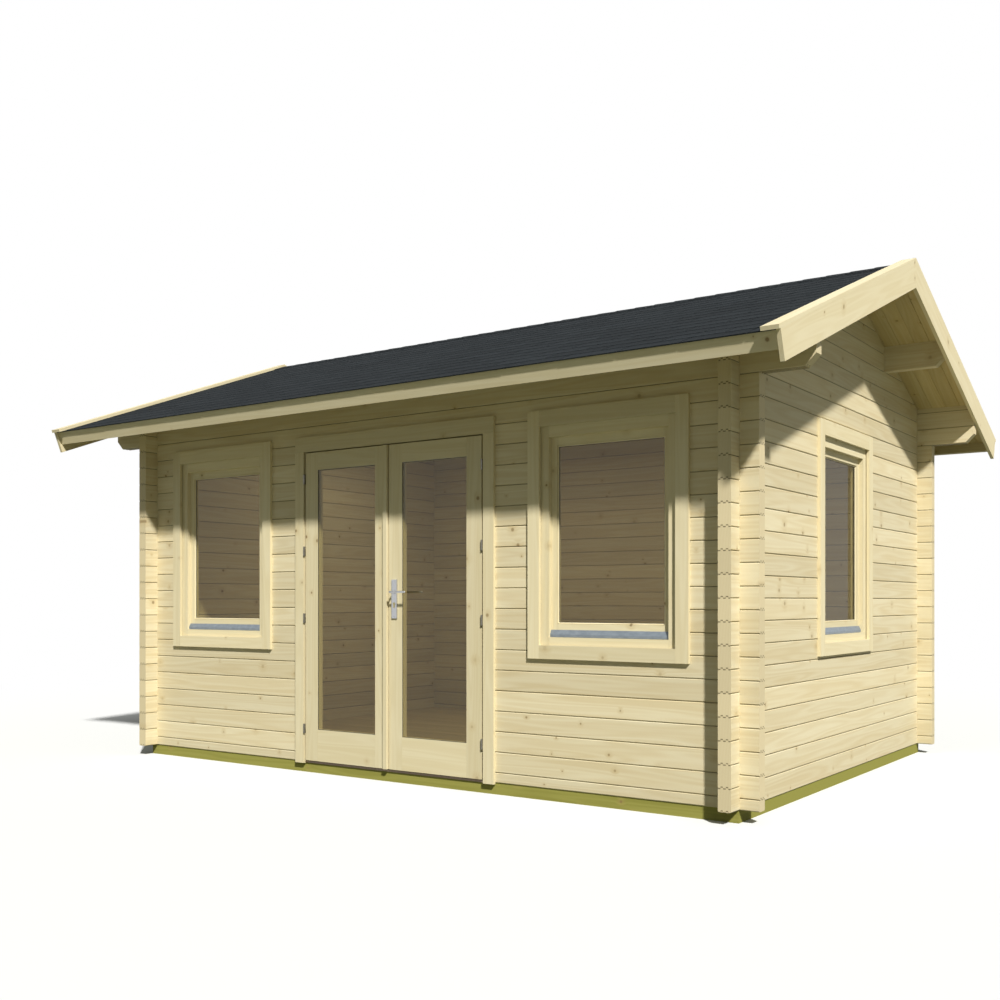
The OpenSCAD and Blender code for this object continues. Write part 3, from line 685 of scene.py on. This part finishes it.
def lever_path(out):
    """Middle line of a lever, as (x, y) from the spindle on the leaf's face, its side vectors
    and its two half widths. The bend is a quarter circle: middle + R (-cos a, sin a)."""
    bend = 0.016
    neck = np.array([0.0, 0.0084, 0.0088, 0.0116, 0.0124, 0.0128, reach - bend])
    neck_r = np.array([7.2, 7.2, 11.0, 11.0, 9.5, 7.2, 6.8]) / 1000
    a = np.linspace(0, np.pi / 2, 9)[1:]
    grip = np.array([0.3, 0.6, 0.85, 0.95, 0.975, 0.99, 1.0]) * (high[0] - spindle_x)
    x = np.concatenate([0 * neck, bend - bend * np.cos(a), grip])
    y = np.concatenate([neck, reach - bend + bend * np.sin(a), 0 * grip + reach])
    turn = np.concatenate([0 * neck, a, 0 * grip + np.pi / 2])
    wide = np.concatenate([neck_r, np.linspace(6.6, 5.4, 8) / 1000,
                           np.array([5.2, 5.2, 5.6, 5.6, 5.2, 4.0, 1.2]) / 1000])
    tall = np.concatenate([neck_r, np.linspace(6.7, 6.3, 8) / 1000,
                           np.array([6.2, 6.3, 6.5, 6.4, 6.0, 4.6, 1.5]) / 1000])
    path = np.stack([spindle_x + x, out * y, spindle_z + 0 * x], axis=1)
    side = np.stack([np.cos(turn), -out * np.sin(turn), 0 * turn], axis=1)
    return path, side, wide, tall


for out, face, word in ((-1, leaf_low[1], "outer"), (1, leaf_high[1], "inner")):
    path, side, wide, tall = lever_path(out)
    points, faces = tube(path + np.array([0, face, 0]), side, wide, tall)
    piece(word + "_lever", points, faces, steel, "lever",
          ["lever_handles"] if out < 0 else (), smooth=True)

# %% [markdown]
# ## Lock and screws
# Below each lever sits the end of the lock's cylinder: a round top with a narrow keel and a
# key slot. It is an outline pushed out of the plate by 3 mm. The key slot is a thin dark sheet
# on the cylinder's face: painted shade where the hole would be. A screw at each end holds the
# plate. A screw head is a profile turned about its axis, with a sunk socket in the middle.

# %% The lock's two ends
key_z = spindle_z - 0.072


def on_plate(outline, out, face, first, last):
    """A prism on a plate: outline is k x 2 in x and z, pushed from first to last."""
    ends = []
    for depth in (first, last):
        y = np.full(len(outline), face + out * depth)
        ends.append(np.stack([outline[:, 0], y, outline[:, 1]], axis=1)[None])
    return prisms(*ends)


round_top = np.radians(np.linspace(-54, 234, 25))
keel = np.radians(np.linspace(180, 360, 9))
profile = np.concatenate([
    np.stack([np.cos(round_top), np.sin(round_top)], axis=1) * 0.0085,
    np.stack([np.cos(keel), np.sin(keel)], axis=1) * 0.005 - np.array([0, 0.0195])])
slot_shape = np.array([[-0.9, -5.5], [0.9, -5.5], [0.4, -2.5], [0.9, 0.0], [0.9, 4.5],
                       [-0.9, 4.5], [-0.4, 1.5], [-0.9, -1.5]]) / 1000
key_place = np.array([spindle_x, key_z])
for out, face, word in ((-1, leaf_low[1], "outer"), (1, leaf_high[1], "inner")):
    points, faces = on_plate(profile + key_place, out, face, PLATE_TOP, PLATE_TOP + 0.003)
    piece(word + "_key_cylinder", points, faces, brass, "right_leaf")
    # The key slot: a thin dark sheet on the cylinder's face, painted shade for the hole
    points, faces = on_plate(slot_shape + key_place, out, face, PLATE_TOP + 0.0028,
                             PLATE_TOP + 0.0031)
    piece(word + "_key_slot_shade", points, faces, rubber_and_keyway_shade, "right_leaf")

# %% Screws in the plates


def screw_heads(centres, out, radius):
    """Heads turned about Y. A profile point (r, h) becomes centre + radius (r cos t, out h,
    r sin t). The last two points sink the socket."""
    profile = np.array([[1, 0], [1, 0.15], [0.85, 0.42], [0.42, 0.5], [0.38, 0.1]]) * radius
    t = np.linspace(0, 2 * np.pi, 12, endpoint=False)
    ring = np.stack([np.cos(t), 0 * t, np.sin(t)], axis=1)
    shape = profile[:, :1, None] * ring + profile[:, 1:, None] * np.array([0, out, 0])
    points = centres[:, None, None] + shape
    n, m, k = points.shape[:3]
    i, j = np.meshgrid(np.arange(m - 1), np.arange(k), indexing="ij")
    quads = np.stack([i * k + j, i * k + (j + 1) % k, (i + 1) * k + (j + 1) % k,
                      (i + 1) * k + j], axis=-1).reshape(-1, 4)
    caps = np.stack([np.arange(k), (m - 1) * k + np.arange(k)])
    base = m * k * np.arange(n)[:, None, None]
    return points, (base + quads).reshape(-1, 4).tolist() + (base + caps).reshape(-1, k).tolist()


plates_low, plates_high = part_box("handle_plates")
heights = np.array([plates_low[2] + 0.013, plates_high[2] - 0.013])
for out, face, word in ((-1, leaf_low[1], "outer"), (1, leaf_high[1], "inner")):
    centres = np.stack([0 * heights + spindle_x, 0 * heights + face + out * PLATE_TOP, heights],
                       axis=1)
    points, faces = screw_heads(centres, out, 0.0042)
    piece(word + "_plate_screws", points, faces, steel, "right_leaf")

# %% [markdown]
# ## Round the glass
# Glass is held by beads: slim wooden strips, mitred at the corners, with a dark rubber seal
# between bead and pane. A ring of this kind is a small profile carried round a rectangle: each
# profile point, by how far it lies inside the rectangle, gives one smaller rectangle.

# %% Beads and seals


def mitred_ring(place, width, height, section):
    """section is k x 2: inset a from the opening's edge and depth d behind its face. Corner c
    of the ring is (+-(width / 2 - a), +-(height / 2 - a), d), handed to place."""
    corners = np.array([[-1, -1], [1, -1], [1, 1], [-1, 1]])
    a, d = section[:, 0], section[:, 1]
    u = corners[:, :1] * (width / 2 - a)
    v = corners[:, 1:] * (height / 2 - a)
    points = place(u, v, np.broadcast_to(d, u.shape))
    k = len(section)
    i, j = np.meshgrid(np.arange(4), np.arange(k), indexing="ij")
    faces = np.stack([i * k + j, i * k + (j + 1) % k, (i + 1) % 4 * k + (j + 1) % k,
                      (i + 1) % 4 * k + j], axis=-1).reshape(-1, 4).tolist()
    return points.reshape(-1, 3), faces


def facing_front(middle, face):
    """Places a shape in a plane that looks along Y: x = middle + u, y = face + d, z = v."""
    return lambda u, v, d: np.stack([middle[0] + u, face + d, middle[1] + v], axis=-1)


def facing_side(middle, face):
    """Places a shape in the plane of the side wall: x = face - d, y = middle + u, z = v."""
    return lambda u, v, d: np.stack([face - d, middle[0] + u, middle[1] + v], axis=-1)


STILE, RAIL_TOP, RAIL_FOOT = 0.0358, 0.0458, 0.0748    # sash members, up to the glass
BEAD = np.array([[0.0002, 0.0146], [0.0002, 0.004], [0.0022, 0.0032], [0.007, 0.0104],
                 [0.007, 0.0146]])
SEAL = np.array([[0.0066, 0.0148], [0.0066, 0.0118], [0.0092, 0.0132], [0.0096, 0.0148]])
window_faces = {}
for window, axis in (("left", 0), ("right", 0), ("side", 1)):
    low, high = map(np.array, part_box(window + "_window_sash"))
    width = high[axis] - low[axis] - 2 * STILE
    height = high[2] - low[2] - RAIL_TOP - RAIL_FOOT
    middle = ((low[axis] + high[axis]) / 2, (low[2] + RAIL_FOOT + high[2] - RAIL_TOP) / 2)
    face = low[1] if axis == 0 else high[0]
    place = (facing_front, facing_side)[axis](middle, face)
    window_faces[window] = (axis, low, high, face)
    sash_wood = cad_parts[window + "_window_sash"].material_slots[0].material
    points, faces = mitred_ring(place, width, height, BEAD)
    piece(window + "_window_beads", points, faces, sash_wood, "cabin")
    points, faces = mitred_ring(place, width, height, SEAL)
    piece(window + "_window_seal", points, faces, rubber_and_keyway_shade, "cabin")

INNER_BEAD = np.array([[0.0002, -0.0002], [0.0002, -0.017], [0.0012, -0.019], [0.0036, -0.008],
                       [0.0036, -0.0002]]) * np.array([1, -1])
DOOR_SEAL = np.array([[0.0002, -0.0002], [0.0002, -0.0035], [0.0022, -0.0022],
                      [0.0026, -0.0002]])
for side in ("left", "right"):
    low, high = map(np.array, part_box(side + "_door_glass"))
    width, height = high[0] - low[0] + 0.0008, high[2] - low[2] + 0.0008
    middle = ((low[0] + high[0]) / 2, (low[2] + high[2]) / 2)
    leaf_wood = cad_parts[side + "_door_leaf"].material_slots[0].material
    points, faces = mitred_ring(facing_front(middle, high[1]), width, height, INNER_BEAD)
    piece(side + "_door_beads", points, faces, leaf_wood, side + "_leaf")
    points, faces = mitred_ring(facing_front(middle, low[1]), width, height, DOOR_SEAL)
    piece(side + "_door_seal", points, faces, rubber_and_keyway_shade, side + "_leaf")

# %% [markdown]
# ## Rain strips
# Under each sash a strip of sheet metal sheds the water: a short upright back, a slope and a
# nose with a folded edge. It is one bent sheet 1.5 mm thick, so its section is a line with a
# thickness, carried along the window.

# %% Bending the rain strips
SHEET = 0.0015
line = np.array([[0.0008, 0.0415], [0.0038, 0.0415], [0.0048, 0.0395], [0.0156, 0.0175],
                 [0.0160, 0.0155], [0.0160, 0.0020], [0.0150, 0.0006]])
step = np.diff(line, axis=0)
normal = np.stack([step[:, 1], -step[:, 0]], axis=1)
normal = normal / np.linalg.norm(normal, axis=1, keepdims=True)
normal = np.concatenate([normal[:1], (normal[:-1] + normal[1:]) / 2, normal[-1:]])
sheet_section = np.concatenate([line, (line + normal * SHEET)[::-1]])
strips = []
for window, (axis, low, high, face) in window_faces.items():
    out, up = sheet_section.T
    ends = []
    for along in (low[axis] + 0.0002, high[axis] - 0.0002):
        flat = 0 * out + along
        across = face - out if axis == 0 else face + out
        columns = [flat, across] if axis == 0 else [across, flat]
        ends.append(np.stack(columns + [low[2] + up - 0.0004], axis=1))
    strips.append(ends)
strips = np.array(strips)
points, faces = prisms(strips[:, 0], strips[:, 1])
piece("rain_strips", points, faces, coated, "cabin", ["window_drip_strips"])

# %% [markdown]
# ## Studio
# A plain pale floor, a white surround, one lamp like a low sun and a weak fill from all
# round. The surround is white only to the camera and in mirrors, so it doesn't light the
# house more than the lamps do.

# %% Floor and surround
stage_paint, tree = new_material("studio_floor_paint")
path = add(tree, "LightPath")
seen = add(tree, "Math", [path["Is Glossy Ray"], path["Is Transmission Ray"]], operation="MAXIMUM")
# The camera sees the paint near the house, with its shadow, and plain white further off
spot = add(tree, "TexCoord")["Object"]
spot = add(tree, "VectorMath", [spot], operation="LENGTH")
spot = add(tree, "MapRange", {"Value": spot, "From Min": 3.6, "From Max": 9.0},
           interpolation_type="SMOOTHSTEP")
spot = add(tree, "Math", [spot, path["Is Camera Ray"]], operation="MULTIPLY")
seen = add(tree, "Math", [seen, spot], operation="MAXIMUM")
# The floor that lights the house from below is a mid grey with a little green in it
tone = add(tree, "Mix", [path["Is Camera Ray"], linear("#757865"), linear("#E8ECF2")],
           data_type="RGBA")
matte = add(tree, "BsdfDiffuse", {"Color": tone})
glow = add(tree, "Emission", {"Color": (1.0, 1.0, 1.0, 1.0), "Strength": 1.0})
mixed = add(tree, "MixShader", [seen, matte, glow])
add(tree, "OutputMaterial", [mixed])
reach = 40.0
floor_mesh = bpy.data.meshes.new("studio_floor")
floor_mesh.from_pydata([(-reach, -reach, 0), (reach, -reach, 0), (reach, reach, 0),
                        (-reach, reach, 0)], [], [(0, 1, 2, 3)])
floor_mesh.materials.append(stage_paint)
studio_floor = bpy.data.objects.new("studio_floor", floor_mesh)
bpy.context.scene.collection.objects.link(studio_floor)

world = bpy.data.worlds.new("studio")
bpy.context.scene.world = world
world.use_nodes = True
tree = world.node_tree
tree.nodes.clear()
path = add(tree, "LightPath")
seen = add(tree, "Math", [path["Is Camera Ray"], path["Is Glossy Ray"]], operation="MAXIMUM")
seen = add(tree, "Math", [seen, path["Is Transmission Ray"]], operation="MAXIMUM")
fill = add(tree, "Background", {"Color": linear("#F3F5EA"), "Strength": 0.20})
white = add(tree, "Background", {"Color": (1.0, 1.0, 1.0, 1.0), "Strength": 1.0})
mixed = add(tree, "MixShader", [seen, fill, white])
add(tree, "OutputWorld", [mixed])

# %% Lamps


def lamp(name, strength, angle, azimuth, height, colour="#FFFAF0"):
    """A sun with a soft edge. azimuth turns from -Y towards +X, height is above level."""
    data = bpy.data.lights.new(name, "SUN")
    data.energy = strength
    data.angle = math.radians(angle)
    data.color = linear(colour)[:3]
    made = bpy.data.objects.new(name, data)
    bpy.context.scene.collection.objects.link(made)
    made.rotation_euler = (math.radians(90 - height), 0, math.radians(azimuth))
    print(name, "shines with", strength)


lamp("key", 5.1, 3, 49.6, 41.4)
# A soft lamp under the ridge, so that the room shows through the glass
room_light = bpy.data.lights.new("room", "AREA")
room_light.shape = "RECTANGLE"
room_light.size = 3.6
room_light.size_y = 1.2
room_light.energy = 23.5
room_light.color = linear("#F4E9D2")[:3]
room_lamp = bpy.data.objects.new("room", room_light)
room_lamp.location = (0, 0, 2.35)
bpy.context.scene.collection.objects.link(room_lamp)

# %% [markdown]
# ## Camera
# The camera stands at eye height for someone who kneels, off the right front corner, and
# looks level. The view is shifted upwards instead of tilted, so that upright edges stay
# upright.

# %% Camera
camera_data = bpy.data.cameras.new("view")
camera_data.sensor_width = 36.0
camera_data.lens = 40.83
camera_data.shift_y = 0.1007
camera = bpy.data.objects.new("view", camera_data)
camera.location = (4.558, -6.960, 1.113)
camera.rotation_euler = (math.radians(90), 0, math.radians(35.1))
bpy.context.scene.collection.objects.link(camera)
bpy.context.scene.camera = camera
bpy.context.scene.view_settings.view_transform = "Standard"
